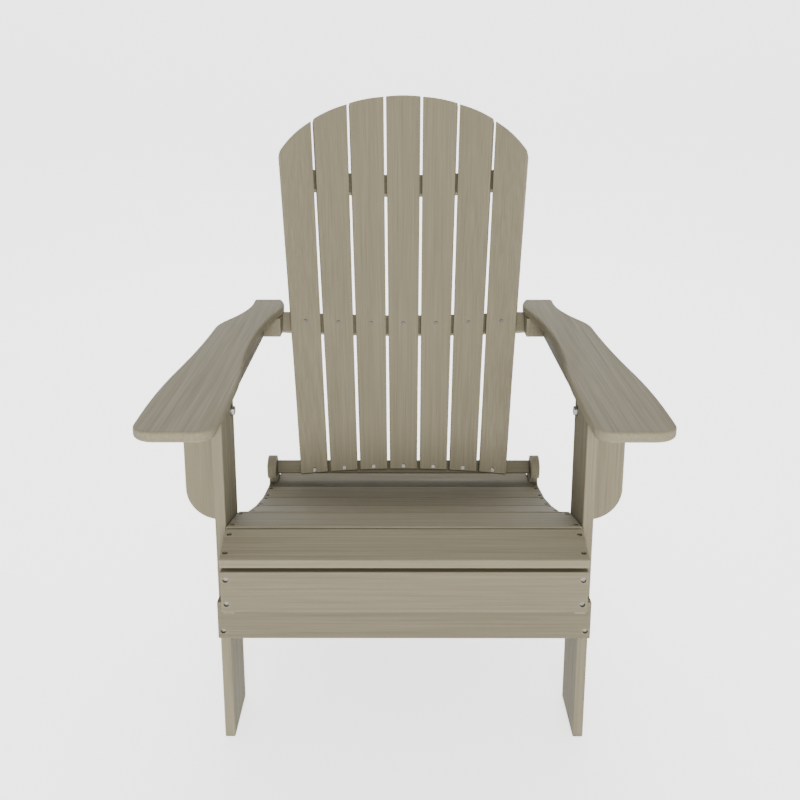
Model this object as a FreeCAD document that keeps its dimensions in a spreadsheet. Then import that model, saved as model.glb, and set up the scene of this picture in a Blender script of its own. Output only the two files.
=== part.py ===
import FreeCAD, Part
import math
import os
import re
from collections import namedtuple
import Sketcher

Vector = FreeCAD.Vector

# ---------------------------------------------------------------------------
# Driving dimensions, in millimetres and degrees.
# X is zero on the chair's centre plane, Y runs from the front of the legs
# towards the back, Z is up from the floor. Every piece is then moved along Y by
# origin_y, so that the origin is under the middle of the chair's bounding box.
# ---------------------------------------------------------------------------
DIMENSIONS = [
    ("board", 16, "thickness of every board"),
    ("edge_round", 2, "round-over on board edges"),
    ("origin_y", 388.9, "Y of the chair's origin, from the front of the legs"),
    # front legs and the boards across the front
    ("leg_inner", 267, "inner face of a leg, from the centre plane"),
    ("leg_outer", 283, "outer face of a leg, from the centre plane"),
    ("leg_depth", 100, "width of a leg board, front to back"),
    ("leg_height", 539, "floor to the underside of the arms"),
    ("stretcher_low", 186, "underside of the leg stretcher"),
    ("stretcher_high", 248, "top of the leg stretcher"),
    ("apron_low", 260, "underside of the seat apron"),
    ("apron_high", 325, "top of the seat apron"),
    # seat side boards
    ("side_inner", 251, "inner face of a side board"),
    ("rail_nose", 46, "how far the side boards reach in front of the legs"),
    ("notch_low", 224, "lower edge of a side board at the legs' front"),
    ("foot_front", 655, "front of the rear foot"),
    ("foot_back", 747, "back of the rear foot"),
    ("tail_y", 768, "upper rear corner of a side board, Y"),
    ("tail_z", 62, "upper rear corner of a side board, Z"),
    ("flare_y", 522, "where the slope behind the ear meets the tail, Y"),
    ("flare_z", 146, "where the slope behind the ear meets the tail, Z"),
    ("neck_y", 445, "front of the ear's neck"),
    ("ear_y", 443, "centre of the ear, Y"),
    ("ear_z", 261, "centre of the ear, Z"),
    ("ear_radius", 22.5, "radius of the ear"),
    ("cross_y", 464, "front of the cross board under the rear slat"),
    ("cross_height", 60, "height of the cross board"),
    # seat: the nose slat's front top edge, then each slat's width and its fall to the back
    ("slat_gap", 3, "gap between seat slats"),
    ("bend_gap", 4.8, "gap where the seat bends most"),
    ("seat_half", 266.5, "half the length of a seat slat"),
    ("notch_half", 250.5, "half the length of the rear slat between the ears"),
    ("notch_start", 18, "width of the rear slat in front of the ears"),
    ("nose_y", -68.4, "front top edge of the nose slat, Y"),
    ("nose_z", 347.3, "front top edge of the nose slat, Z"),
    ("slat_width_a", 65.4, "nose slat"),
    ("slat_width_b", 100.9, "slat between the legs"),
    ("slat_width_c", 88.5, "third slat"),
    ("slat_width_d", 90.2, "fourth slat"),
    ("slat_width_e", 82.2, "fifth slat"),
    ("slat_width_f", 73.5, "sixth slat"),
    ("slat_width_g", 71, "rear slat"),
    ("fall_a", -15.9, "degrees: the nose slat rises to the back"),
    ("fall_b", 15.1, "degrees"),
    ("fall_c", 26.7, "degrees"),
    ("fall_d", 20.3, "degrees"),
    ("fall_e", 16.4, "degrees"),
    ("fall_f", 9.9, "degrees"),
    ("fall_g", 0, "degrees: the rear slat is level"),
    # back: lengths along it are measured up from the top of the lower rail
    ("back_y", 444.1, "front of the slats at the top of the lower rail, Y"),
    ("back_z", 277.3, "front of the slats at the top of the lower rail, Z"),
    ("recline", 31.1, "lean of the back from upright, degrees"),
    ("fan_drop", 1983, "from the top of the lower rail down to the fan's centre"),
    ("fan_step", 1.709, "angle between neighbouring slats, degrees"),
    ("back_gap", 5, "gap between back slats"),
    ("slat_end", 18.5, "slats' lower ends, below the top of the lower rail"),
    ("arch_radius", 296, "radius of the arched top"),
    ("arch_rise", 514.5, "centre of the arch, above the top of the lower rail"),
    ("cup", 0.0597, "how fast the outer slats come forward as they rise"),
    ("cup_start", 30, "below the top of the lower rail, where the outer slats start to come forward"),
    ("cup_turn", 26, "turn of the outer slats at their top, degrees"),
    ("cup_narrow", 22.5, "turn that draws the outer slats in at their top, degrees"),
    ("loft_low", -30, "lower end of the slats' blanks"),
    ("loft_high", 820, "upper end of the slats' blanks"),
    ("low_rail_depth", 25, "height of the lower rail"),
    ("mid_rail_low", 260, "underside of the middle rail"),
    ("mid_rail_high", 301, "top of the middle rail"),
    ("mid_rail_half", 283, "half the length of the middle rail"),
    ("mid_rail_slack", 1.6, "from the slats' turned backs to the middle rail"),
    ("top_rail_low", 577, "underside of the upper rail"),
    ("top_rail_high", 623, "top of the upper rail"),
    ("top_rail_half", 248, "half the length of the upper rail"),
    ("top_rail_slack", 2.9, "from the slats' turned backs to the upper rail"),
    # arms and what carries them
    ("arm_round", 4, "round-over on the arms' edges"),
    ("arm_front", -98.5, "front edge of the arms"),
    ("arm_back", 638, "rear edge of the arms"),
    ("arm_inner", 260, "inner edge of an arm at its front"),
    ("arm_outer", 376.5, "outer edge of an arm where it is widest"),
    ("arm_widest", -26, "where an arm is widest, Y"),
    ("arm_inner_round", 25, "radius of an arm's inner front corner"),
    ("arm_outer_round", 34.5, "radius of an arm's outer front corner"),
    ("arm_shoulder", 1, "how far the outer front corner ends inside the widest point"),
    ("arm_side_x", 370, "outer edge beside the seat, X"),
    ("arm_side_y", 163, "outer edge beside the seat, Y"),
    ("arm_taper_x", 357, "where the outer edge starts to draw in, X"),
    ("arm_taper_y", 418, "where the outer edge starts to draw in, Y"),
    ("arm_knee_x", 345, "middle of the bend in the outer edge, X"),
    ("arm_knee_y", 472, "middle of the bend in the outer edge, Y"),
    ("arm_hip_x", 321, "end of the bend in the outer edge, X"),
    ("arm_hip_y", 541, "end of the bend in the outer edge, Y"),
    ("arm_tail_outer", 314, "outer edge at the rear corner, X"),
    ("arm_tail_inner", 256, "inner edge at the rear corner, X"),
    ("arm_tail_corner", 6, "reach of the rear corners along the arm and across it"),
    ("arm_tail_round", 7, "radius of the rear corners"),
    ("arm_curl", 138, "radius of the inner edge at the rear"),
    ("arm_waist_x", 250.4, "where the inner edge is nearest to the back, X"),
    ("arm_waist_y", 547, "where the inner edge is nearest to the back, Y"),
    ("arm_waist_curve", 729, "radius in front of that"),
    ("arm_hollow_end", 264.6, "rear end of the inner edge's hollow, X"),
    ("arm_hollow_rear", 1112, "radius of the hollow's rear half"),
    ("arm_hollow_x", 274.5, "deepest point of the hollow, X"),
    ("arm_hollow_y", 316, "deepest point of the hollow, Y"),
    ("arm_hollow_front", 1206, "radius of the hollow's front half"),
    ("arm_swell_x", 267, "where the hollow runs into the swell in front of it, X"),
    ("arm_swell_y", 190, "where the hollow runs into the swell in front of it, Y"),
    ("arm_swell", 1121, "radius of the swell"),
    ("arm_straight", 65, "where the inner edge's straight front part ends, Y"),
    ("arm_rail_low", 501, "underside of the rails below the arms"),
    ("arm_rail_front", 58, "front end of the arm rails"),
    ("arm_rail_back", 577, "rear end of the arm rails"),
    ("block_inner", 249, "inner face of the arm blocks"),
    ("block_front", 539, "front face of the arm blocks"),
    ("block_reach", 8, "how far the blocks' rear ends lie behind the plane of the slats' fronts"),
    ("bracket_outer", 334.5, "outer edge of the brackets"),
    ("bracket_turn", 405, "where a bracket's edge starts to curve in"),
    # fasteners
    ("screw_head", 7, "screw head, diameter"),
    ("screw_shank", 4, "screw shank, diameter"),
    ("screw_sink", 3, "depth of the screw heads below the boards' faces"),
    ("head_thick", 3, "thickness of the screw heads"),
    ("short_screw", 28, "screw through two boards laid flat"),
    ("long_screw", 46, "screw into the edge or the end of a board"),
    ("bolt_shank", 8, "bolt shank, diameter"),
    ("bolt_flats", 13, "bolt heads and nuts, across the flats"),
    ("bolt_head", 3.5, "thickness of a bolt's head"),
    ("bolt_length", 44, "bolt, under the head"),
    ("nut_thick", 6.5, "thickness of a nut"),
    ("washer_size", 18, "washer, diameter"),
    ("washer_thick", 1.6, "thickness of a washer"),
    ("lag_length", 50, "lag bolt through an ear, under the head"),
    ("hole_room", 0.2, "holes are this much wider than what goes through them"),
    ("bore_room", 1, "counterbores are this much wider than the screw heads"),
    ("cutter_room", 1, "how far the shapes of the holes reach past the boards"),
    ("screw_inset", 13, "screws, from the edges of the boards that they hold"),
    ("nose_inset", 15, "front screws of the nose slat, from its front edge"),
    ("block_inset", 9, "screws into an arm block, from its sides"),
    ("arm_inset", 60, "screws under the arms, from the ends of the arm rails"),
    ("leg_bolt_front", 30, "front bolts through the legs, Y"),
    ("leg_bolt_rear", 70, "rear bolts through the legs, Y"),
    ("leg_bolt_height", 280, "bolts through the legs, Z"),
    ("arm_bolt_y", 83, "bolts through the arm rails, Y"),
    ("arm_bolt_height", 517, "bolts through the arm rails, Z"),
    ("low_screws", 13.3, "screws into the lower rail, below its top"),
    ("mid_screws", 279, "screws into the middle rail, above the top of the lower rail"),
]

LETTERS = "abcdefg"
# the gap in front of each slat but the first
GAPS = dict(zip(LETTERS[1:], ("slat_gap", "bend_gap", "slat_gap", "slat_gap", "slat_gap", "slat_gap")))

doc = FreeCAD.newDocument("adirondack_chair")
sheet = doc.addObject("Spreadsheet::Sheet", "Sheet")
for row, (alias, value, note) in enumerate(DIMENSIONS, start=1):
    sheet.set(f"A{row}", note)
    sheet.set(f"B{row}", str(value))
    sheet.setAlias(f"B{row}", alias)
ALIASES = {alias for alias, _, _ in DIMENSIONS}
doc.recompute()

Arc = namedtuple("Arc", "radius left large", defaults=(False, False))
SMOOTH = "smooth"
boards = {}


# ---------------------------------------------------------------------------
# Expressions and sketches
# ---------------------------------------------------------------------------
def bound(expression):
    """The expression with each bare alias written as a cell of the sheet."""
    return re.sub(r"[a-z][a-z_]*", lambda m: "Sheet." + m[0] if m[0] in ALIASES else m[0], str(expression))


def number(expression):
    return float(sheet.evalExpression(bound(expression)))


def set_frame(thing, y="0", z="0", angle="0"):
    """Puts a piece at (0, y, z), turned about X, in the chair's final frame."""
    thing.Placement = FreeCAD.Placement(Vector(), FreeCAD.Rotation(Vector(1, 0, 0), 1))
    thing.setExpression("Placement.Base.y", bound(f"({y}) - origin_y"))
    thing.setExpression("Placement.Base.z", bound(z))
    thing.setExpression("Placement.Rotation.Angle", bound(angle))


def new_sketch(body, role, offset="0"):
    """Sketch on one of the body's own origin planes, moved along the plane's normal."""
    sketch = body.newObject("Sketcher::SketchObject", body.Name + "_sketch")
    plane = next(f for f in body.Origin.OriginFeatures if f.Role == role)
    sketch.AttachmentSupport = [(plane, "")]
    sketch.MapMode = "FlatFace"
    sketch.setExpression("AttachmentOffset.Base.z", bound(offset))
    return sketch


def constrain(sketch, kind, *references, value):
    index = sketch.addConstraint(Sketcher.Constraint(kind, *references, number(value)))
    sketch.setExpression(f"Constraints[{index}]", bound(value))


def turn_vector(vector, angle):
    return FreeCAD.Rotation(Vector(0, 0, 1), math.degrees(angle)).multVec(vector)


def arc_between(start, end, radius, left, large):
    """Arc that bows to the right of the way from start to end, or to the left."""
    chord = end - start
    half = chord.Length / 2
    flat = math.sqrt(max(radius ** 2 - half ** 2, 0))
    rise = radius + flat if large else radius - flat
    across = Vector(chord.y, -chord.x, 0).normalize() * (-1 if left else 1)
    return Part.Arc(start, (start + end) * 0.5 + across * rise, end)


def arc_onwards(start, end, heading):
    """Arc that leaves start along a heading, and the heading at its end."""
    chord = end - start
    turn = math.atan2(heading.cross(chord).z, heading.dot(chord))
    radius = chord.Length / (2 * abs(math.sin(turn)))
    arc = arc_between(start, end, radius, turn < 0, False)
    return arc, turn_vector(heading, 2 * turn), radius


def draw(sketch, corners):
    """Closed outline through corners (x, y). A third item makes the edge to the next corner an
    arc: an Arc, or SMOOTH for one that runs on from the edge before it."""
    points = [Vector(number(corner[0]), number(corner[1]), 0) for corner in corners]
    heading = None
    first_end = []
    for i, corner in enumerate(corners):
        start, end = points[i], points[(i + 1) % len(points)]
        kind = corner[2] if len(corner) == 3 else None
        if kind is None:
            edge = Part.LineSegment(start, end)
            heading = (end - start).normalize()
        elif kind == SMOOTH:
            edge, heading, radius = arc_onwards(start, end, heading)
        else:
            radius = kind.radius
            edge = arc_between(start, end, number(radius), kind.left, kind.large)
            half_turn = math.asin(min((end - start).Length / 2 / number(radius), 1))
            half_turn *= -1 if kind.left else 1
            heading = turn_vector((end - start).normalize(), half_turn)
        index = sketch.addGeometry(edge, False)
        first_end.append(1 if sketch.getPoint(index, 1).distanceToPoint(start) < 1e-6 else 2)
        if kind is not None and (end - start).Length > 1.9999 * number(radius):
            sketch.addConstraint(Sketcher.Constraint("Symmetric", index, 1, index, 2, index, 3))
        elif kind is not None:
            constrain(sketch, "Radius", index, value=radius)
    for i, corner in enumerate(corners):
        following = (i + 1) % len(corners)
        last_end = 3 - first_end[i]
        sketch.addConstraint(Sketcher.Constraint("Coincident", i, last_end, following, first_end[following]))
        constrain(sketch, "DistanceX", -1, 1, i, first_end[i], value=corner[0])
        constrain(sketch, "DistanceY", -1, 1, i, first_end[i], value=corner[1])


def rectangle(left, low, right, high):
    return [(left, low), (right, low), (right, high), (left, high)]


def rounded_rectangle(left, low, right, high, radius):
    corner = Arc(radius)
    return [
        (f"{left} + {radius}", low), (f"{right} - {radius}", low, corner),
        (right, f"{low} + {radius}"), (right, f"{high} - {radius}", corner),
        (f"{right} - {radius}", high), (f"{left} + {radius}", high, corner),
        (left, f"{high} - {radius}"), (left, f"{low} + {radius}", corner),
    ]


# ---------------------------------------------------------------------------
# Solids
# ---------------------------------------------------------------------------
def new_body(name):
    return doc.addObject("PartDesign::Body", name)


def pad(body, role, corners, length, offset="0", both_ways=False):
    """An outline padded along its plane's normal."""
    sketch = new_sketch(body, role, offset)
    draw(sketch, corners)
    feature = body.newObject("PartDesign::Pad", body.Name + "_pad")
    feature.Profile = sketch
    feature.setExpression("Length", bound(length))
    feature.SideType = "Symmetric" if both_ways else "One side"
    body.Tip = feature
    return feature


def round_over(body, feature, radius="edge_round"):
    doc.recompute()
    fillet = body.newObject("PartDesign::Fillet", body.Name + "_rounding")
    fillet.Base = (feature, [f"Edge{n + 1}" for n in range(len(feature.Shape.Edges))])
    fillet.setExpression("Radius", bound(radius))
    body.Tip = fillet


def board(name, role, corners, length, offset="0", both_ways=False, radius="edge_round"):
    """A flat board with rounded edges, in the chair's frame."""
    body = new_body(name + "_blank")
    feature = pad(body, role, corners, length, offset, both_ways)
    if radius:
        round_over(body, feature, radius)
    set_frame(body)
    boards[name] = body
    return body


def combine(kind, name, first, second):
    """Part::Cut or Part::Common of two pieces."""
    result = doc.addObject(kind, name)
    result.Base = first
    result.Tool = second
    return result


# ---------------------------------------------------------------------------
# Fasteners: each is modelled along -Z, with the underside of what it bears on at z = 0,
# next to the shape of the hole that it needs.
# ---------------------------------------------------------------------------
def turned(name, profile):
    """A solid of revolution about Z from half an outline in XZ."""
    body = new_body(name)
    sketch = new_sketch(body, "XZ_Plane")
    draw(sketch, profile)
    feature = body.newObject("PartDesign::Revolution", name + "_revolution")
    feature.Profile = sketch
    feature.ReferenceAxis = (sketch, ["V_Axis"])
    feature.Angle = 360
    body.Tip = feature
    return body


def screw(name, length):
    """A flat-headed screw, sunk below the board's face, and its counterbored hole."""
    head_low = "-screw_sink - head_thick"
    bore_radius = "(screw_head + bore_room) / 2"
    hole_radius = "(screw_shank + hole_room) / 2"
    piece = turned(name, [
        ("0", "-screw_sink"), ("screw_head / 2", "-screw_sink"), ("screw_head / 2", head_low),
        ("screw_shank / 2", head_low), ("screw_shank / 2", f"-{length} + screw_shank / 2"),
        ("0", f"-{length}"),
    ])
    hole = turned(name + "_hole", [
        ("0", "cutter_room"), (bore_radius, "cutter_room"), (bore_radius, head_low),
        (hole_radius, head_low), (hole_radius, f"-{length} - cutter_room"),
        ("0", f"-{length} - cutter_room"),
    ])
    return piece, hole


def hexagon(flats):
    corner = f"{flats} / 2 / cos(30)"
    return [(f"{corner} * cos({60 * n})", f"{corner} * sin({60 * n})") for n in range(6)]


def bolt(name, length):
    """A hexagon bolt with its washer's room under the head, and its hole."""
    body = new_body(name)
    pad(body, "XY_Plane", hexagon("bolt_flats"), "bolt_head", "washer_thick")
    sketch = new_sketch(body, "XY_Plane", "washer_thick")
    sketch.addGeometry(Part.Circle(Vector(), Vector(0, 0, 1), number("bolt_shank / 2")), False)
    sketch.addConstraint(Sketcher.Constraint("Coincident", 0, 3, -1, 1))
    constrain(sketch, "Radius", 0, value="bolt_shank / 2")
    shank = body.newObject("PartDesign::Pad", name + "_shank")
    shank.Profile = sketch
    shank.Reversed = True
    shank.setExpression("Length", bound(length))
    body.Tip = shank
    hole_radius = "(bolt_shank + hole_room) / 2"
    hole = turned(name + "_hole", [
        ("0", "cutter_room"), (hole_radius, "cutter_room"), (hole_radius, f"-{length}"), ("0", f"-{length}"),
    ])
    return body, hole


def ring(name, outline, thickness, offset="0"):
    """A washer or a nut: a pad with a hole for the bolt."""
    body = new_body(name)
    outer = pad(body, "XY_Plane", outline, thickness, offset)
    doc.recompute()
    sketch = new_sketch(body, "XY_Plane", offset)
    sketch.addGeometry(Part.Circle(Vector(), Vector(0, 0, 1), number("(bolt_shank + hole_room) / 2")), False)
    sketch.addConstraint(Sketcher.Constraint("Coincident", 0, 3, -1, 1))
    constrain(sketch, "Radius", 0, value="(bolt_shank + hole_room) / 2")
    bore = body.newObject("PartDesign::Pocket", name + "_bore")
    bore.Profile = sketch
    bore.Reversed = True
    bore.Type = "ThroughAll"
    body.Tip = bore
    doc.recompute()
    if bore.Shape.Volume > outer.Shape.Volume * 0.99:
        raise RuntimeError(name + ": the bore cuts nothing")
    return body


def round_outline(size):
    half = f"{size} / 2"
    return [(f"-{half}", "0", Arc(half)), (half, "0", Arc(half))]


def copies(name, source, places, frame=()):
    """One group of copies. A place is (x, y, z, direction that the fastener points in)."""
    links = []
    for n, (x, y, z, towards) in enumerate(places, start=1):
        link = doc.addObject("App::Link", f"{name}_{n}")
        link.LinkedObject = source
        link.Placement = FreeCAD.Placement(Vector(), FreeCAD.Rotation(Vector(0, 0, -1), towards))
        for axis, expression in zip("xyz", (x, y, z)):
            link.setExpression(f"Placement.Base.{axis}", bound(expression))
        links.append(link)
    group = doc.addObject("Part::Compound", name)
    group.Links = links
    set_frame(group, *frame)
    return group


def fasten(name, kind, places, frame=()):
    """Puts a group of fasteners in, as a node, and returns the group of their holes."""
    piece, hole = kind
    boards[name] = copies(name + "_group", piece, places, frame)
    return copies(name + "_holes", hole, places, frame)


def drill(name, *holes):
    """Cuts groups of holes in a board."""
    for n, group in enumerate(holes, start=1):
        boards[name] = combine("Part::Cut", f"{name}_drilled_{n}", boards[name], group)


def both_sides(places):
    """The same places on the left, for fasteners that stand or point along X."""
    out = list(places)
    for x, y, z, towards in places:
        out.append((f"-({x})", y, z, Vector(-towards.x, towards.y, towards.z)))
    return out


INTO_BACK = Vector(0, 1, 0)
DOWN = Vector(0, 0, -1)
UP = Vector(0, 0, 1)
INWARDS = Vector(-1, 0, 0)
OUTWARDS = Vector(1, 0, 0)
short_screw = screw("short_screw_model", "short_screw")
long_screw = screw("long_screw_model", "long_screw")
machine_bolt = bolt("bolt_model", "bolt_length")
lag_bolt = bolt("lag_model", "lag_length")
washer = ring("washer_model", round_outline("washer_size"), "washer_thick")
nut = ring("nut_model", hexagon("bolt_flats"), "nut_thick", "washer_thick")

# ---------------------------------------------------------------------------
# Seat: where each slat's front top edge lies, as expressions in the sheet
# ---------------------------------------------------------------------------
seat_y = {"a": "nose_y"}
seat_z = {"a": "nose_z"}
for before, letter in zip(LETTERS, LETTERS[1:]):
    step = f"(slat_width_{before} + {GAPS[letter]})"
    seat_y[letter] = f"{seat_y[before]} + {step} * cos(fall_{before})"
    seat_z[letter] = f"{seat_z[before]} - {step} * sin(fall_{before})"


def under_seat(letter, y):
    """Height of a slat's underside, or of its plane carried on, at a given Y."""
    drop = f"(({y}) - ({seat_y[letter]})) * tan(fall_{letter})"
    return f"{seat_z[letter]} - {drop} - board / cos(fall_{letter})"


def bend_under(before, after):
    """Y where the planes of two neighbouring slats' undersides cross."""
    level = f"(({under_seat(before, 0)}) - ({under_seat(after, 0)}))"
    return f"{level} / (tan(fall_{before}) - tan(fall_{after}))"


def seat_slat(number_from_front, letter):
    name = f"seat_slat_{number_from_front}"
    body = new_body(name + "_blank")
    width = f"slat_width_{letter}"
    bevel = "board * tan(fall_b - fall_a)" if letter == "a" else "0"
    section = [("0", "-board"), (f"{width} - {bevel}", "-board"), (width, "0"), ("0", "0")]
    if letter == "g":
        half, notch = "seat_half", "notch_half"
        outline = [
            (f"-{half}", "0"), (half, "0"), (half, "notch_start"), (notch, "notch_start"),
            (notch, width), (f"-{notch}", width), (f"-{notch}", "notch_start"), (f"-{half}", "notch_start"),
        ]
        feature = pad(body, "XY_Plane", outline, "board", "-board")
    else:
        feature = pad(body, "YZ_Plane", section, "2 * seat_half", "0", both_ways=True)
    round_over(body, feature)
    set_frame(body, seat_y[letter], seat_z[letter], f"0 - fall_{letter}")
    boards[name] = body


for position, slat in enumerate(LETTERS, start=1):
    seat_slat(position, slat)

# ---------------------------------------------------------------------------
# Legs, side boards and the boards across the front; the left ones are mirrored later
# ---------------------------------------------------------------------------
board("front_leg_right", "YZ_Plane", rectangle("0", "0", "leg_depth", "leg_height"), "board", "leg_inner")
board("leg_stretcher", "XZ_Plane",
      rectangle("-leg_outer", "stretcher_low", "leg_outer", "stretcher_high"), "board")
board("seat_apron", "XZ_Plane",
      rectangle("-leg_inner", "apron_low", "leg_inner", "apron_high"), "board", "rail_nose")

ear_low = "ear_z - sqrt(ear_radius ^ 2 - (neck_y - ear_y) ^ 2)"
flare_run = "sqrt((flare_y - ear_y) ^ 2 + (flare_z - ear_z) ^ 2)"
flare_angle = f"(atan((flare_z - ear_z) / (flare_y - ear_y)) + acos(ear_radius / {flare_run}))"
side_outline = [("foot_back", "0"), ("tail_y", "tail_z"), ("flare_y", "flare_z")]
side_outline.append((f"ear_y + ear_radius * cos({flare_angle})", f"ear_z + ear_radius * sin({flare_angle})",
                     Arc("ear_radius", large=True)))
side_outline.append(("neck_y", ear_low))
side_outline.append(("neck_y", under_seat("g", "neck_y")))
for before, after in reversed(list(zip(LETTERS, LETTERS[1:]))):
    bend = bend_under(before, after)
    side_outline.append((bend, under_seat(before, bend)))
side_outline.append(("-rail_nose", under_seat("a", "-rail_nose")))
side_outline += [("-rail_nose", "stretcher_high"), ("0", "stretcher_high"), ("0", "notch_low")]
side_outline.append(("foot_front", "0"))
board("seat_side_right", "YZ_Plane", side_outline, "board", "side_inner", radius=None)
cross_top = under_seat("g", "cross_y")
board("rear_cross_board", "XZ_Plane",
      rectangle("-side_inner", f"{cross_top} - cross_height", "side_inner", cross_top),
      "board", "-cross_y - board")

# ---------------------------------------------------------------------------
# Back: x across, y up along the slats, z forwards, from the top of the lower rail
# ---------------------------------------------------------------------------
BACK_FRAME = ("back_y", "back_z", "90 - recline")
FAN = range(-3, 4)
OUTERMOST = 3


def fan_x(rank, along):
    """Middle of a slat across the back, at a height along it: turned slats draw in as they rise."""
    inner = "".join(f" + 1 - cos(cup_narrow * {other / OUTERMOST})" for other in range(1, abs(rank)))
    lost = f"((1 - cos(cup_narrow * {rank / OUTERMOST})) / 2{inner})"
    width = "((fan_drop + loft_high) * tan(fan_step) - back_gap)"
    drawn_in = f"{width} * {lost} * ({along} - loft_low) / (loft_high - loft_low)"
    return f"(fan_drop + {along}) * tan({rank} * fan_step) - {math.copysign(1, rank):.0f} * {drawn_in}"


def fan_forward(rank, along):
    """How far a slat's front stands forward of the middle slat's."""
    return f"cup * ({along} + cup_start) * {(rank / OUTERMOST) ** 2}"


def slat_section(body, rank, along, turn, narrow):
    """A slat's cross-section at a height along the back, turned to follow the hollow."""
    sketch = new_sketch(body, "XZ_Plane", f"-({along})")
    sketch.AttachmentOffset = FreeCAD.Placement(Vector(), FreeCAD.Rotation(Vector(0, 0, 1), 1))
    sketch.setExpression("AttachmentOffset.Base.x", bound(fan_x(rank, along)))
    sketch.setExpression("AttachmentOffset.Base.y", bound(fan_forward(rank, along)))
    sketch.setExpression("AttachmentOffset.Base.z", bound(f"-({along})"))
    sketch.setExpression("AttachmentOffset.Rotation.Angle", bound(turn))
    half = f"((fan_drop + {along}) * tan(fan_step) - back_gap) / 2 * cos({narrow}) / cos({turn})"
    draw(sketch, rounded_rectangle(f"-{half}", "-board", half, "0", "edge_round"))
    return sketch


def loft(name, body, low, high):
    feature = body.newObject("PartDesign::AdditiveLoft", name + "_loft")
    feature.Profile = low
    feature.Sections = [high]
    feature.Ruled = True
    body.Tip = feature
    set_frame(body, *BACK_FRAME)
    return body


def back_slat(rank, arch):
    name = f"back_slat_{rank + OUTERMOST + 1}"
    body = new_body(name + "_blank")
    share = rank / OUTERMOST
    low = slat_section(body, rank, "loft_low", "0", "0")
    high = slat_section(body, rank, "loft_high", f"cup_turn * ({share})", f"cup_narrow * ({share})")
    loft(name, body, low, high)
    boards[name] = combine("Part::Common", name + "_arched", body, arch)


def rail_radius(along):
    """Radius of the slats' fronts around the hollow, at a height along the back."""
    forward = fan_forward(OUTERMOST, along)
    return f"(({fan_x(OUTERMOST, along)}) ^ 2 / (2 * {forward}) + {forward} / 2)"


def rail_section(body, along, half, slack):
    """A curved rail's cross-section, behind the slats."""
    sketch = new_sketch(body, "XZ_Plane", f"-({along})")
    front = f"({rail_radius(along)} + board + {slack})"
    rear = f"({front} + board)"
    centre = rail_radius(along)
    front_end = f"{centre} - sqrt({front} ^ 2 - {half} ^ 2)"
    rear_end = f"{centre} - sqrt({rear} ^ 2 - {half} ^ 2)"
    draw(sketch, [
        (f"-{half}", rear_end, Arc(rear)), (half, rear_end),
        (half, front_end, Arc(front, left=True)), (f"-{half}", front_end),
    ])
    return sketch


def curved_rail(name, low_along, high_along, half, slack):
    body = new_body(name + "_blank")
    low = rail_section(body, low_along, half, slack)
    high = rail_section(body, high_along, half, slack)
    return loft(name, body, low, high)


arch_blank = new_body("arch_blank")
low_end_radius = "(fan_drop - slat_end)"
low_end = f"sqrt({low_end_radius} ^ 2 - arch_radius ^ 2) - fan_drop"
pad(arch_blank, "XY_Plane", [
    ("-arch_radius", low_end, Arc(low_end_radius, left=True)), ("arch_radius", low_end),
    ("arch_radius", "arch_rise", Arc("arch_radius")), ("-arch_radius", "arch_rise"),
], "4 * leg_depth", both_ways=True)
set_frame(arch_blank, *BACK_FRAME)
for rank in FAN:
    back_slat(rank, arch_blank)

lower_rail = new_body("back_rail_lower_blank")
round_over(lower_rail, pad(lower_rail, "YZ_Plane", rectangle("-low_rail_depth", "-2 * board", "0", "-board"),
                           "2 * side_inner", both_ways=True))
set_frame(lower_rail, *BACK_FRAME)
boards["back_rail_lower"] = lower_rail
for name, stem in (("back_rail_middle", "mid"), ("back_rail_upper", "top")):
    boards[name] = curved_rail(
        name, f"{stem}_rail_low", f"{stem}_rail_high", f"{stem}_rail_half", f"{stem}_rail_slack")

# ---------------------------------------------------------------------------
# Arms, with the rails, blocks and brackets that carry them
# ---------------------------------------------------------------------------
arm_outline = [
    ("arm_inner + arm_inner_round", "arm_front"),
    ("arm_outer - arm_shoulder - arm_outer_round", "arm_front", Arc("arm_outer_round")),
    ("arm_outer - arm_shoulder", "arm_front + arm_outer_round"),
    ("arm_outer", "arm_widest", SMOOTH),
    ("arm_side_x", "arm_side_y", SMOOTH),
    ("arm_taper_x", "arm_taper_y", SMOOTH),
    ("arm_knee_x", "arm_knee_y", SMOOTH),
    ("arm_hip_x", "arm_hip_y", SMOOTH),
    ("arm_tail_outer", "arm_back - arm_tail_corner", Arc("arm_tail_round")),
    ("arm_tail_outer - arm_tail_corner", "arm_back"),
    ("arm_tail_inner + arm_tail_corner", "arm_back", Arc("arm_tail_round")),
    ("arm_tail_inner", "arm_back - arm_tail_corner", Arc("arm_curl")),
    ("arm_waist_x", "arm_waist_y", Arc("arm_waist_curve", left=True)),
    ("arm_hollow_end", "arm_knee_y", Arc("arm_hollow_rear", left=True)),
    ("arm_hollow_x", "arm_hollow_y", Arc("arm_hollow_front", left=True)),
    ("arm_swell_x", "arm_swell_y", Arc("arm_swell")),
    ("arm_inner", "arm_straight"),
    ("arm_inner", "arm_front + arm_inner_round", Arc("arm_inner_round")),
]
board("arm_right", "XY_Plane", arm_outline, "board", "leg_height", radius="arm_round")
board("arm_rail_right", "YZ_Plane",
      rectangle("arm_rail_front", "arm_rail_low", "arm_rail_back", "leg_height"), "board", "leg_outer")
bracket_radius = "(bracket_outer - leg_outer)"
board("arm_bracket_right", "XZ_Plane", [
    ("leg_outer", "leg_height"), ("leg_outer", f"bracket_turn - {bracket_radius}", Arc(bracket_radius)),
    ("bracket_outer", "bracket_turn"), ("bracket_outer", "leg_height"),
], "board", "-arm_rail_front")


def block_corner(height):
    """Where the block's leaning rear, inside the middle rail's thickness, meets a height."""
    along = f"(({height}) - back_z - block_reach * sin(recline)) / cos(recline)"
    return f"back_y + {along} * sin(recline) - block_reach * cos(recline)", height


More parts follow.
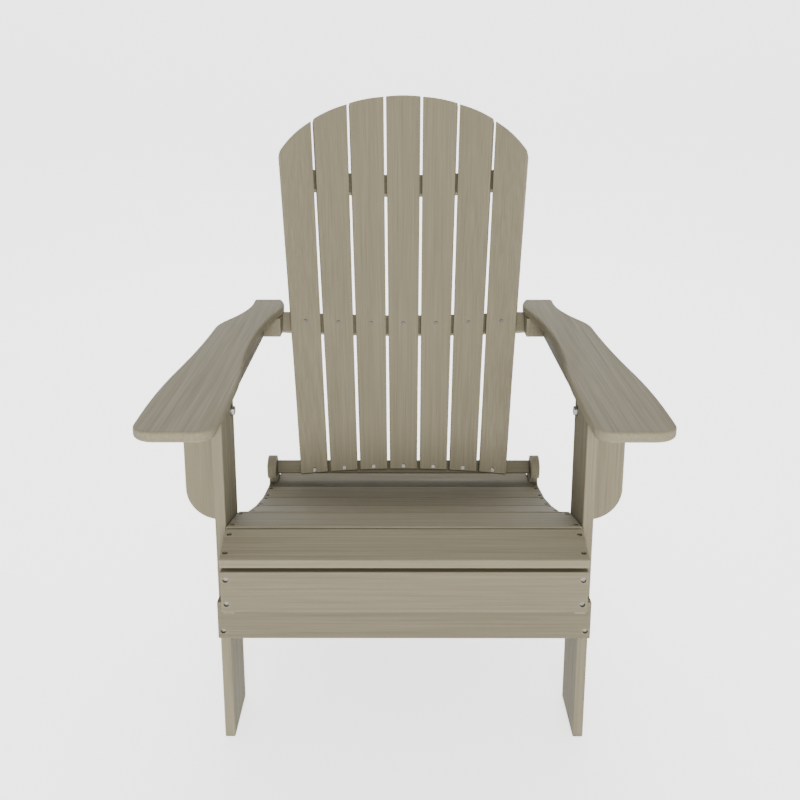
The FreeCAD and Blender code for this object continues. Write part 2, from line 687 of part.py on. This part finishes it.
board("arm_block_right", "YZ_Plane", [
    ("block_front", "arm_rail_low"), block_corner("arm_rail_low"),
    block_corner("leg_height"), ("block_front", "leg_height"),
], "leg_outer - block_inner", "block_inner", radius=None)
rail_room = curved_rail(
    "rail_room", "mid_rail_low - board", "mid_rail_high + board", "mid_rail_half + board", "mid_rail_slack")
drill("arm_block_right", rail_room, boards["back_rail_middle"])
above_blocks = new_body("above_blocks")
pad(above_blocks, "XY_Plane",
    rectangle("-leg_outer - board", "block_front", "leg_outer + board", "arm_back"),
    "leg_depth", "leg_height")
set_frame(above_blocks)
drill("back_rail_middle", above_blocks)

# ---------------------------------------------------------------------------
# Fastening
# ---------------------------------------------------------------------------
side_middle = "side_inner + board / 2"
seat_places = []
for letter in "bcdef":
    fall = math.radians(number(f"fall_{letter}"))
    into_slat = Vector(0, -math.sin(fall), -math.cos(fall))
    for inset in ("screw_inset", f"(slat_width_{letter} - screw_inset)"):
        seat_places.append((side_middle, f"{seat_y[letter]} + {inset} * cos(fall_{letter})",
                            f"{seat_z[letter]} - {inset} * sin(fall_{letter})", into_slat))
seat_places.append((side_middle, f"{seat_y['g']} + notch_start / 2", seat_z["g"], DOWN))
seat_holes = fasten("seat_screws", long_screw, both_sides(seat_places))

CROSS_SHARES = (0.25, 0.75)
nose_fall = math.radians(number("fall_a"))
nose_places = [
    (side_middle, f"nose_y + {inset} * cos(fall_a)", f"nose_z - {inset} * sin(fall_a)",
     Vector(0, -math.sin(nose_fall), -math.cos(nose_fall)))
    for inset in ("nose_inset", "(slat_width_a - screw_inset)")
]
nose_holes = fasten("nose_screws", short_screw, both_sides(nose_places))
apron_holes = fasten("apron_screws", long_screw, both_sides([
    (side_middle, "-rail_nose - board", height, INTO_BACK)
    for height in ("apron_high - screw_inset", "apron_low + screw_inset")
]))
stretcher_holes = fasten("stretcher_screws", long_screw, both_sides([
    ("leg_inner + board / 2", "-board", "stretcher_low + screw_inset", INTO_BACK)]))
cross_holes = fasten("cross_board_screws", long_screw, both_sides([
    ("leg_inner", "cross_y + board / 2", f"{cross_top} - cross_height * {share}", INWARDS)
    for share in CROSS_SHARES
]))

LEG_BOLTS = [("leg_bolt_front", "leg_bolt_height"), ("leg_bolt_rear", "leg_bolt_height")]
ARM_BOLTS = [("arm_bolt_y", "arm_bolt_height")]
leg_head_places = both_sides([("leg_outer", y, z, INWARDS) for y, z in LEG_BOLTS])
leg_nut_places = both_sides([("side_inner", y, z, OUTWARDS) for y, z in LEG_BOLTS])
arm_head_places = both_sides([("leg_inner", y, z, OUTWARDS) for y, z in ARM_BOLTS])
arm_nut_places = both_sides([("leg_outer + board", y, z, INWARDS) for y, z in ARM_BOLTS])
ear_bolt_y = "back_y - low_rail_depth / 2 * sin(recline) + 1.5 * board * cos(recline)"
ear_bolt_z = "back_z - low_rail_depth / 2 * cos(recline) - 1.5 * board * sin(recline)"
ear_places = both_sides([("leg_inner", ear_bolt_y, ear_bolt_z, INWARDS)])
leg_holes = fasten("leg_bolts", machine_bolt, leg_head_places)
arm_bolt_holes = fasten("arm_bolts", machine_bolt, arm_head_places)
ear_holes = fasten("ear_bolts", lag_bolt, ear_places)
boards["leg_washers"] = copies("leg_washers_group", washer, leg_head_places + leg_nut_places)
boards["arm_washers"] = copies("arm_washers_group", washer, arm_head_places + arm_nut_places)
boards["ear_washers"] = copies("ear_washers_group", washer, ear_places)
boards["leg_nuts"] = copies("leg_nuts_group", nut, leg_nut_places)
boards["arm_nuts"] = copies("arm_nuts_group", nut, arm_nut_places)

LOW_SCREWS = "(fan_drop - low_screws)"
TOP_SCREWS = "((top_rail_low + top_rail_high) / 2)"


def slat_turn(across, along):
    """Turn of a slat, in radians, where it crosses the hollow of the back."""
    return math.asin(number(across) / number(rail_radius(along)))


def facing(turn, forwards):
    """Across and forwards parts of a screw's direction at a turned slat."""
    direction = Vector(math.sin(turn), 0, -math.cos(turn))
    return direction * -1 if forwards else direction


low_places = []
mid_places = []
top_places = []
through = "(2 * board + top_rail_slack)"
for rank in FAN:
    low_x = f"{LOW_SCREWS} * sin({rank} * fan_step)"
    low_along = f"({LOW_SCREWS} * cos({rank} * fan_step) - fan_drop)"
    low_places.append((low_x, low_along, fan_forward(rank, low_along), DOWN))
    mid_x = fan_x(rank, "mid_screws")
    mid_turn = slat_turn(mid_x, "mid_screws")
    mid_places.append((mid_x, "mid_screws", fan_forward(rank, "mid_screws"), facing(mid_turn, False)))
    top_x = fan_x(rank, TOP_SCREWS)
    top_turn = slat_turn(top_x, TOP_SCREWS)
    top_places.append((f"{top_x} + {through} * {math.sin(top_turn)}", TOP_SCREWS,
                       f"{fan_forward(rank, TOP_SCREWS)} - {through} * {math.cos(top_turn)}",
                       facing(top_turn, True)))
low_holes = fasten("back_lower_screws", short_screw, low_places, BACK_FRAME)
mid_holes = fasten("back_middle_screws", short_screw, mid_places, BACK_FRAME)
top_holes = fasten("back_upper_screws", short_screw, top_places, BACK_FRAME)

hollow_radius = rail_radius("mid_screws")
block_radius = f"({hollow_radius} + 2 * board + mid_rail_slack)"
block_places = []
for x in ("(block_inner + block_inset)", "(leg_outer - block_inset)"):
    turn = math.asin(number(x) / number(block_radius))
    block_places.append((x, "mid_screws", f"{hollow_radius} - sqrt({block_radius} ^ 2 - {x} ^ 2)",
                         facing(turn, True)))
block_holes = fasten("arm_block_screws", short_screw, both_sides(block_places), BACK_FRAME)
arm_places = [("leg_outer + board / 2", y, "arm_rail_low", UP) for y in (
    "arm_rail_front + arm_inset", "(arm_rail_front + arm_rail_back) / 2", "arm_rail_back - arm_inset")]
arm_places.append(("(block_inner + leg_outer) / 2", "block_front + screw_inset", "arm_rail_low", UP))
arm_holes = fasten("arm_screws", long_screw, both_sides(arm_places))

for position, letter in enumerate(LETTERS, start=1):
    drill(f"seat_slat_{position}", nose_holes if letter == "a" else seat_holes)
for rank in FAN:
    drill(f"back_slat_{rank + OUTERMOST + 1}", low_holes, mid_holes, top_holes)
drill("front_leg_right", leg_holes, arm_bolt_holes, stretcher_holes)
drill("seat_side_right", seat_holes, nose_holes, apron_holes, cross_holes, leg_holes, ear_holes)
drill("leg_stretcher", stretcher_holes)
drill("seat_apron", apron_holes)
drill("rear_cross_board", cross_holes)
drill("back_rail_lower", low_holes, ear_holes)
drill("back_rail_middle", mid_holes, block_holes)
drill("back_rail_upper", top_holes)
drill("arm_right", arm_holes)
drill("arm_rail_right", arm_holes, arm_bolt_holes)
drill("arm_block_right", block_holes, arm_holes)

# ---------------------------------------------------------------------------
# Left-hand pieces, labels, checks and files
# ---------------------------------------------------------------------------
for name in [name for name in boards if name.endswith("_right")]:
    mirror = doc.addObject("Part::Mirroring", name + "_mirror")
    mirror.Source = boards[name]
    mirror.Normal = Vector(1, 0, 0)
    boards[name.replace("_right", "_left")] = mirror

for name, piece in boards.items():
    piece.Label = name
doc.recompute()

failed = [thing.Label for thing in doc.Objects if "Invalid" in thing.State or "Error" in thing.State]
if failed:
    raise RuntimeError("failed: " + ", ".join(failed))
for name, piece in boards.items():
    if piece.Shape.isNull() or not piece.Shape.isValid() or not piece.Shape.Solids:
        raise RuntimeError(f"{name} has no valid solid")

os.makedirs("parts", exist_ok=True)
for name, piece in boards.items():
    piece.Shape.exportStep(f"parts/{name}.step")
    print(f"{name}: {len(piece.Shape.Solids)} solids, {piece.Shape.Volume / 1000:.1f} cm3")
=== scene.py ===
import math
import random

import bpy
from mathutils import Euler, Matrix, Vector

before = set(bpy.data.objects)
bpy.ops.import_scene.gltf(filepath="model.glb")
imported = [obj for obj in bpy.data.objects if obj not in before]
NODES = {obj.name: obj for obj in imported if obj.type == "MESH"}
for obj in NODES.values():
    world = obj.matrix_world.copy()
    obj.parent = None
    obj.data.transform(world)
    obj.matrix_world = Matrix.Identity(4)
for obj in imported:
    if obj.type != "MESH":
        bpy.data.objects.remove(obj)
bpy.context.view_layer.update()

MM = 0.001
GRAIN_SEED = 11
random.seed(GRAIN_SEED)

# ---------------------------------------------------------------------------
# Colours, linear RGB, and painted light and shade: how much lighter or darker some boards are painted than
# the rest
# ---------------------------------------------------------------------------
BOARD_LIGHT = (0.129, 0.115, 0.079)
BOARD_DARK = (0.095, 0.084, 0.056)
BOARD_GREEN = (0.104, 0.100, 0.063)
BOARD_WORN = (0.17, 0.150, 0.100)
STEEL = (0.62, 0.61, 0.58)
SCREW = (0.24, 0.23, 0.21)
WASHER = (0.16, 0.155, 0.145)
FLOOR = (0.90, 0.90, 0.90)
# Painted light and shade per board: back slats, back rail and arms painted lighter as if lit more; the leg
# stretcher painted darker as the apron's shadow; the rear seat slat painted darker as the back's shade; the
# apron painted a little darker
PAINTED_LIGHT_AND_SHADE = {
    "back_slat": 1.18, "arm_left": 1.07, "arm_right": 1.07, "back_rail": 1.05,
    "leg_stretcher": 0.76, "seat_apron": 0.89, "seat_slat_7": 0.85,
}
SHADE_SPREAD = 0.03

# ---------------------------------------------------------------------------
# Grain: the length and width of each kind of mark in mm, and the way each board runs
# ---------------------------------------------------------------------------
STREAK_SIZE = (240, 3.4)
HAIR_SIZE = (90, 1.4)
BAND_SIZE = (900, 18)
PATCH_SIZE = (320, 150)
SCUFF_SIZE = (40, 14)
STREAK_SHARE = 0.6
HAIR_SHARE = 0.25
BAND_SHARE = 0.15
PATCH_SHARE = 0.15
RECLINE = math.radians(31.1)
FAN_STEP = math.radians(1.709)
SIDE_SLOPE = math.radians(-19)
MIDDLE_SLAT = 4
ALONG_X = Vector((1, 0, 0))
ALONG_Y = Vector((0, 1, 0))
ALONG_Z = Vector((0, 0, 1))
ALONG_SIDE = Vector((0, math.cos(SIDE_SLOPE), math.sin(SIDE_SLOPE)))
GRAIN = {
    "front_leg": ALONG_Z, "arm_bracket": ALONG_Z,
    "seat_side": ALONG_SIDE,
    "arm_left": ALONG_Y, "arm_right": ALONG_Y, "arm_rail": ALONG_Y, "arm_block": ALONG_Y,
    "seat_slat": ALONG_X, "seat_apron": ALONG_X, "leg_stretcher": ALONG_X,
    "rear_cross_board": ALONG_X, "back_rail": ALONG_X,
}

# ---------------------------------------------------------------------------
# Wear, painted crevice shade and surface: how far each reaches, how strong it is
# ---------------------------------------------------------------------------
EDGE_WEAR = 4 * MM
# Painted shade in crevices and between parts: how far it reaches, how dark it gets
PAINTED_SHADE_REACH = 14 * MM
PAINTED_SHADE_DARKEST = 0.72
WEAR_SHARE = 0.4
BOARD_ROUGHNESS = (0.76, 0.62)
BOARD_SPECULAR = 0.12
BOARD_RELIEF = 0.35 * MM
METAL_EDGE_WEAR = 1.2 * MM
METAL_RELIEF = 0.08 * MM
SCRATCH_TURN = Euler((0.3, 0.2, 0.7))
SCRATCH_SIZE = (4 * MM, 0.3 * MM, 0.3 * MM)
STAIN_SIZE = 3.125 * MM
STAIN = 0.6
WORN_BRIGHT = 1.3
STEEL_ROUGHNESS = 0.32
SCREW_ROUGHNESS = 0.4
WASHER_ROUGHNESS = 0.45


def slat_direction(name):
    """Up along one of the fanned back slats."""
    lean = (int(name.rsplit("_", 1)[1]) - MIDDLE_SLAT) * FAN_STEP
    up = math.cos(lean)
    return Vector((math.sin(lean), up * math.sin(RECLINE), up * math.cos(RECLINE)))


def grain_direction(name):
    """The way a board's grain runs."""
    if name.startswith("back_slat"):
        return slat_direction(name)
    return next(direction for prefix, direction in GRAIN.items() if name.startswith(prefix))


# ---------------------------------------------------------------------------
# Node helpers
# ---------------------------------------------------------------------------
class Graph:
    """A material's node tree, with short ways to add and join nodes."""

    def __init__(self, name):
        self.material = bpy.data.materials.new(name)
        self.material.use_nodes = True
        self.tree = self.material.node_tree
        self.shader = self.tree.nodes["Principled BSDF"]

    def add(self, kind, inputs=None, **settings):
        node = self.tree.nodes.new(kind)
        for key, value in settings.items():
            setattr(node, key, value)
        for key, value in (inputs or {}).items():
            self.feed(node, key, value)
        return node

    def feed(self, node, key, value):
        if isinstance(value, bpy.types.NodeSocket):
            self.tree.links.new(value, node.inputs[key])
        else:
            node.inputs[key].default_value = value

    def noise(self, vector, scale=1.0, detail=2.0, roughness=0.5):
        node = self.add("ShaderNodeTexNoise", {
            "Vector": vector, "Scale": scale, "Detail": detail, "Roughness": roughness})
        return node.outputs["Fac"]

    def stretch(self, value, low, high, to_low=0.0, to_high=1.0):
        node = self.add("ShaderNodeMapRange", {
            "Value": value, "From Min": low, "From Max": high, "To Min": to_low, "To Max": to_high})
        return node.outputs["Result"]

    def maths(self, operation, first, second):
        return self.add("ShaderNodeMath", {0: first, 1: second}, operation=operation).outputs[0]

    def blend(self, factor, first, second, mode="MIX"):
        node = self.add("ShaderNodeMix", data_type="RGBA", blend_type=mode)
        self.feed(node, "Factor", factor)
        for key, value in (("A", first), ("B", second)):
            socket = next(s for s in node.inputs if s.name == key and s.type == "RGBA")
            if isinstance(value, bpy.types.NodeSocket):
                self.tree.links.new(value, socket)
            else:
                socket.default_value = (*value, 1.0)
        return next(s for s in node.outputs if s.type == "RGBA")

    def along(self, coordinates, turn, offset, size):
        """Coordinates turned to run along the grain, in units of size."""
        placing = {"Vector": coordinates, "Location": offset, "Rotation": turn, "Scale": size}
        return self.add("ShaderNodeMapping", placing, vector_type="TEXTURE").outputs["Vector"]

    def occlusion(self, distance, inside):
        node = self.add("ShaderNodeAmbientOcclusion", {"Distance": distance}, samples=6, inside=inside)
        node.only_local = inside
        return node.outputs["AO"]


# ---------------------------------------------------------------------------
# Materials
# ---------------------------------------------------------------------------
def board_material(name, direction):
    """Fine straight streaks along the board, broad soft bands, pale worn edges, painted shade in crevices.
    """
    graph = Graph("board_" + name)
    coordinates = graph.add("ShaderNodeTexCoord").outputs["Object"]
    turn = ALONG_X.rotation_difference(direction).to_euler()
    offset = [random.uniform(-3, 3) for _ in range(3)]

    def field(size, detail, roughness=0.5):
        length, width = size
        scaled = graph.along(coordinates, turn, offset, (length * MM, width * MM, width * MM))
        return graph.noise(scaled, detail=detail, roughness=roughness)

    streaks = graph.stretch(field(STREAK_SIZE, 2.0, 0.6), 0.32, 0.68)
    hairs = graph.stretch(field(HAIR_SIZE, 1.0), 0.35, 0.75)
    bands = graph.stretch(field(BAND_SIZE, 2.0), 0.25, 0.75)
    patches = graph.stretch(field(PATCH_SIZE, 2.0), 0.35, 0.7)

    fine = graph.maths("MULTIPLY", hairs, HAIR_SHARE)
    grain = graph.maths("ADD", graph.maths("MULTIPLY", streaks, STREAK_SHARE), fine)
    tone = graph.maths("ADD", grain, graph.maths("MULTIPLY", bands, BAND_SHARE))
    colour = graph.blend(tone, BOARD_DARK, BOARD_LIGHT)
    colour = graph.blend(graph.maths("MULTIPLY", patches, PATCH_SHARE), colour, BOARD_GREEN)
    # Each board's tone differs a little at random, times its painted light and shade from the table
    board_tone_and_painted_light = random.uniform(1 - SHADE_SPREAD, 1 + SHADE_SPREAD)
    board_tone_and_painted_light *= next((PAINTED_LIGHT_AND_SHADE[prefix] for prefix in PAINTED_LIGHT_AND_SHADE if name.startswith(prefix)), 1)
    colour = graph.blend(1.0, colour, (board_tone_and_painted_light, board_tone_and_painted_light, board_tone_and_painted_light), "MULTIPLY")

    worn = graph.stretch(graph.occlusion(EDGE_WEAR, True), 0.95, 0.55, 0.0, WEAR_SHARE)
    worn = graph.maths("MULTIPLY", worn, graph.stretch(field(SCUFF_SIZE, 3.0), 0.35, 0.6))
    colour = graph.blend(worn, colour, BOARD_WORN)
    # Painted shade: boards darkened by ambient occlusion in crevices and between parts, where little light
    # reaches
    painted_crevice_shade = graph.stretch(graph.occlusion(PAINTED_SHADE_REACH, False), 0.15, 0.8, PAINTED_SHADE_DARKEST, 1.0)
    channels = {"Red": painted_crevice_shade, "Green": painted_crevice_shade, "Blue": painted_crevice_shade}
    painted_crevice_shade_colour = graph.add("ShaderNodeCombineColor", channels)
    colour = graph.blend(1.0, colour, painted_crevice_shade_colour.outputs["Color"], "MULTIPLY")

    graph.feed(graph.shader, "Base Color", colour)
    graph.feed(graph.shader, "Roughness", graph.stretch(streaks, 0.0, 1.0, *BOARD_ROUGHNESS))
    graph.feed(graph.shader, "Specular IOR Level", BOARD_SPECULAR)
    bump = graph.add("ShaderNodeBump", {"Strength": 0.35, "Distance": BOARD_RELIEF, "Height": grain})
    graph.feed(graph.shader, "Normal", bump.outputs["Normal"])
    return graph.material


def metal_material(name, base, rough):
    """Fastener metal: brushed, faintly stained, worn bright on its edges."""
    graph = Graph(name)
    coordinates = graph.add("ShaderNodeTexCoord").outputs["Object"]
    stain = graph.stretch(graph.noise(coordinates, 1 / STAIN_SIZE, 3.0, 0.6), 0.3, 0.7)
    scratches = graph.noise(graph.along(coordinates, SCRATCH_TURN, (0, 0, 0), SCRATCH_SIZE))
    dark = tuple(STAIN * channel for channel in base)
    colour = graph.blend(stain, dark, base)
    edge = graph.stretch(graph.occlusion(METAL_EDGE_WEAR, True), 0.95, 0.5, 0.0, WEAR_SHARE)
    colour = graph.blend(edge, colour, tuple(min(1.0, WORN_BRIGHT * channel) for channel in base))
    graph.feed(graph.shader, "Base Color", colour)
    graph.feed(graph.shader, "Metallic", 1.0)
    graph.feed(graph.shader, "Roughness", graph.stretch(scratches, 0.3, 0.7, rough - 0.1, rough + 0.12))
    bump = graph.add("ShaderNodeBump", {"Strength": 0.25, "Distance": METAL_RELIEF, "Height": scratches})
    graph.feed(graph.shader, "Normal", bump.outputs["Normal"])
    return graph.material


def floor_material():
    """Plain pale sweep that glows evenly, as a backlit studio sweep does."""
    graph = Graph("studio_floor")
    coordinates = graph.add("ShaderNodeTexCoord").outputs["Object"]
    tone = graph.stretch(graph.noise(coordinates, 1.3, 3.0), 0.3, 0.7)
    colour = graph.blend(tone, tuple(0.985 * channel for channel in FLOOR), FLOOR)
    graph.feed(graph.shader, "Base Color", colour)
    graph.feed(graph.shader, "Roughness", 0.9)
    graph.feed(graph.shader, "Emission Color", (1, 1, 1, 1))
    graph.feed(graph.shader, "Emission Strength", BACKLIGHT)
    return graph.material


def put_material(thing, material):
    thing.data.materials.clear()
    thing.data.materials.append(material)


steel = metal_material("fastener_steel", STEEL, STEEL_ROUGHNESS)
screw = metal_material("screw_steel", SCREW, SCREW_ROUGHNESS)
washer = metal_material("washer_steel", WASHER, WASHER_ROUGHNESS)
for name in sorted(NODES):
    piece = NODES[name]
    if name.endswith("_washers"):
        put_material(piece, washer)
    elif name.endswith("_screws"):
        put_material(piece, screw)
    elif name.endswith(("_bolts", "_nuts")):
        put_material(piece, steel)
    else:
        put_material(piece, board_material(name, grain_direction(name)))

# ---------------------------------------------------------------------------
# Floor and backdrop, light and camera: metres, watts, degrees turned into radians
# ---------------------------------------------------------------------------
BACKLIGHT = 1.75
SKY = 0.85
CAMERA_PLACE = (-0.0048, -1.6661, 1.0369)
CAMERA_TILT = math.radians(76.89)
CAMERA_TURN = math.radians(0.07)
CAMERA_LENS = 41.99
CAMERA_SHIFT = -0.1468
SENSOR_WIDTH = 36
CHAIR_MIDDLE = (0, 0, 0.5)
KEY_PLACE = (0.3, -7.0, 1.9)
KEY_SIZE = 2.6
KEY_POWER = 960
KEY_COLOUR = (1.0, 0.98, 0.95)
TOP_PLACE = (0, 2.4, 3.6)
TOP_TARGET = (0, 0.1, 0.4)
TOP_SIZE = 2.4
TOP_POWER = 110
TOP_COLOUR = (1.0, 0.99, 0.97)
FLOOR_HALF = 14.0
FLOOR_FRONT = -9.0
SWEEP_START = 6.0
SWEEP_RADIUS = 3.0
SWEEP_STEPS = 24
WALL_TOP = 12.0


def backdrop():
    """A floor that sweeps up into a wall behind the chair."""
    profile = [(FLOOR_FRONT, 0.0), (SWEEP_START, 0.0)]
    for step in range(1, SWEEP_STEPS + 1):
        angle = math.pi / 2 * step / SWEEP_STEPS
        profile.append((SWEEP_START + SWEEP_RADIUS * math.sin(angle), SWEEP_RADIUS * (1 - math.cos(angle))))
    profile.append((SWEEP_START + SWEEP_RADIUS, WALL_TOP))
    points = [(side * FLOOR_HALF, y, z) for y, z in profile for side in (-1, 1)]
    faces = [(2 * n, 2 * n + 1, 2 * n + 3, 2 * n + 2) for n in range(len(profile) - 1)]
    mesh = bpy.data.meshes.new("studio_floor")
    mesh.from_pydata(points, [], faces)
    mesh.shade_smooth()
    sweep = bpy.data.objects.new("studio_floor", mesh)
    bpy.context.scene.collection.objects.link(sweep)
    put_material(sweep, floor_material())


def area_light(name, place, target, size, power, colour):
    data = bpy.data.lights.new(name, "AREA")
    data.shape = "DISK"
    data.size = size
    data.energy = power
    data.color = colour
    light = bpy.data.objects.new(name, data)
    bpy.context.scene.collection.objects.link(light)
    aim = (Vector(target) - Vector(place)).to_track_quat("-Z", "Y")
    light.matrix_world = Matrix.LocRotScale(Vector(place), aim, None)


def sky(strength):
    world = bpy.data.worlds.new("studio")
    world.use_nodes = True
    background = world.node_tree.nodes["Background"]
    background.inputs["Color"].default_value = (1, 1, 1, 1)
    background.inputs["Strength"].default_value = strength
    bpy.context.scene.world = world


def camera():
    data = bpy.data.cameras.new("camera")
    data.sensor_width = SENSOR_WIDTH
    data.lens = CAMERA_LENS
    data.shift_y = CAMERA_SHIFT
    view = bpy.data.objects.new("camera", data)
    view.location = CAMERA_PLACE
    view.rotation_euler = (CAMERA_TILT, 0, CAMERA_TURN)
    bpy.context.scene.collection.objects.link(view)
    bpy.context.scene.camera = view


backdrop()
sky(SKY)
area_light("key", KEY_PLACE, CHAIR_MIDDLE, KEY_SIZE, KEY_POWER, KEY_COLOUR)
area_light("top", TOP_PLACE, TOP_TARGET, TOP_SIZE, TOP_POWER, TOP_COLOUR)
camera()
